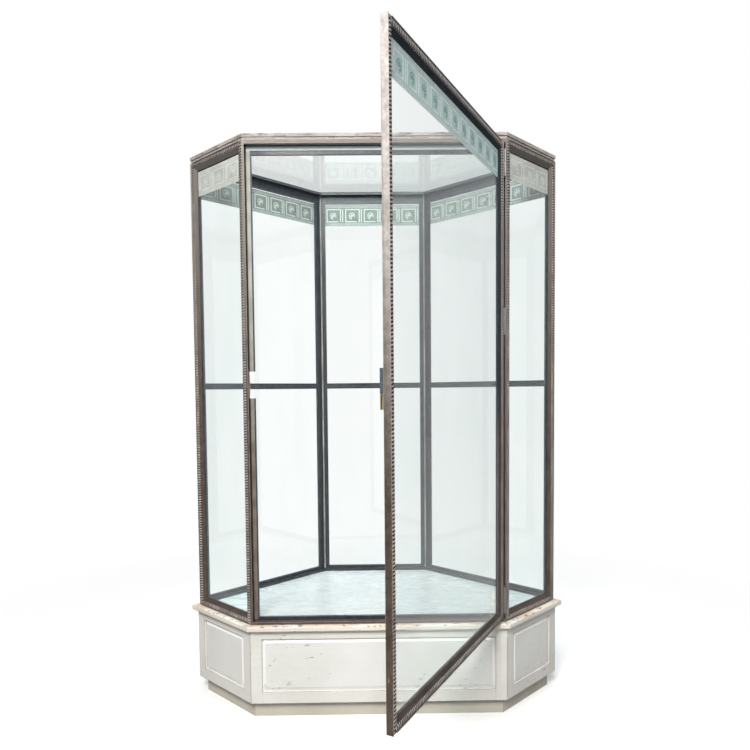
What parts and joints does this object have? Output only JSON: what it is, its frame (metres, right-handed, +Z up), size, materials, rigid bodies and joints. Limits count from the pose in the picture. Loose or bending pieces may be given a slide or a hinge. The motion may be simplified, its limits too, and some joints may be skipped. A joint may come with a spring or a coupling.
{
  "type": "glass display showcase",
  "caption": "Tall six-sided glass display showcase with a glazed hinged door, glass roof and panelled wooden plinth.",
  "frame": {"origin": "on the floor under the middle of the plinth", "axes": "+Z up, front faces -Y, door hinged on the +X side and modelled open"},
  "size_m": [1.517, 1.5695, 2.15],
  "materials": {
    "plinth_paint": "distressed cream paint",
    "slab_paint": "distressed cream paint, worn edges",
    "floor_paint": "satin white",
    "bare_wood": "unfinished",
    "frame_finish": "bronze brown paint",
    "moulding_finish": "bronzed rope moulding",
    "inner_black": "black paint",
    "glass": "clear",
    "etching": "acid etched",
    "seal": "pale felt and rubber",
    "steel": "satin",
    "dark_steel": "dark bronze",
    "brass": "aged"
  },
  "bodies": {
    "case": {"base_bearers": "bare_wood", "base_bottom": "bare_wood", "cap_moulding": "frame_finish", "case_screws": "steel", "corner_posts": "bare_wood", "cornice": "frame_finish", "display_floor": "floor_paint", "door_seals": "seal", "door_stops": "inner_black", "door_surround": "frame_finish", "floor_skirting": "inner_black", "frame_back": "frame_finish", "frame_front_left": "frame_finish", "frame_front_right": "frame_finish", "frame_rear_left": "frame_finish", "frame_rear_right": "frame_finish", "glass_back_lower": "glass", "glass_back_upper": "glass", "glass_front_left": "glass", "glass_front_right": "glass", "glass_rear_left_lower": "glass", "glass_rear_left_upper": "glass", "glass_rear_right_lower": "glass", "glass_rear_right_upper": "glass", "glazing_beads": "inner_black", "hinge_case_leaves": "dark_steel", "hinge_pins": "dark_steel", "inner_rope_strips": "moulding_finish", "mid_bars": "inner_black", "plinth_frame_back": "plinth_paint", "plinth_frame_front": "plinth_paint", "plinth_frame_front_left": "plinth_paint", "plinth_frame_front_right": "plinth_paint", "plinth_frame_rear_left": "plinth_paint", "plinth_frame_rear_right": "plinth_paint", "plinth_panel_back": "plinth_paint", "plinth_panel_front": "plinth_paint", "plinth_panel_front_left": "plinth_paint", "plinth_panel_front_right": "plinth_paint", "plinth_panel_rear_left": "plinth_paint", "plinth_panel_rear_right": "plinth_paint", "roof_glass": "glass", "rope_moulding_back": "moulding_finish", "rope_moulding_front_left": "moulding_finish", "rope_moulding_front_right": "moulding_finish", "rope_moulding_rear_left": "moulding_finish", "rope_moulding_rear_right": "moulding_finish", "strike_plate": "brass", "toe_kick": "plinth_paint", "top_slab": "slab_paint"},
    "door": {"door_stiles": "frame_finish", "door_rails": "frame_finish", "door_rope_moulding": "moulding_finish", "door_glass": "glass", "door_glazing_beads": "inner_black", "door_screws": "steel", "hinge_door_leaves": "dark_steel", "lock_case": "steel"},
    "bolt": {"lock_bolt": "steel"},
    "lever": {"lock_lever": "brass"}
  },
  "joints": [
    {"name": "door_swing", "type": "hinge", "parent": "case", "child": "door", "pos_m": [0.4705, -0.3648, 1.24], "axis": [0, 0, 1], "range_deg": [-61.4, 108.6]},
    {"name": "lever_turn", "type": "hinge", "parent": "door", "child": "lever", "pos_m": [0.00625, -1.14986, 1.229], "axis": [0.878, -0.4787, 0], "range_deg": [0, 90]},
    {"name": "bolt_slide", "type": "slide", "parent": "door", "child": "bolt", "axis": [-0.4787, -0.878, 0], "range_m": [0, 0.009]}
  ],
  "couplings": [
    {"joint": "bolt_slide", "follows": "lever_turn", "m_per_rad": 0.0057296}
  ]
}
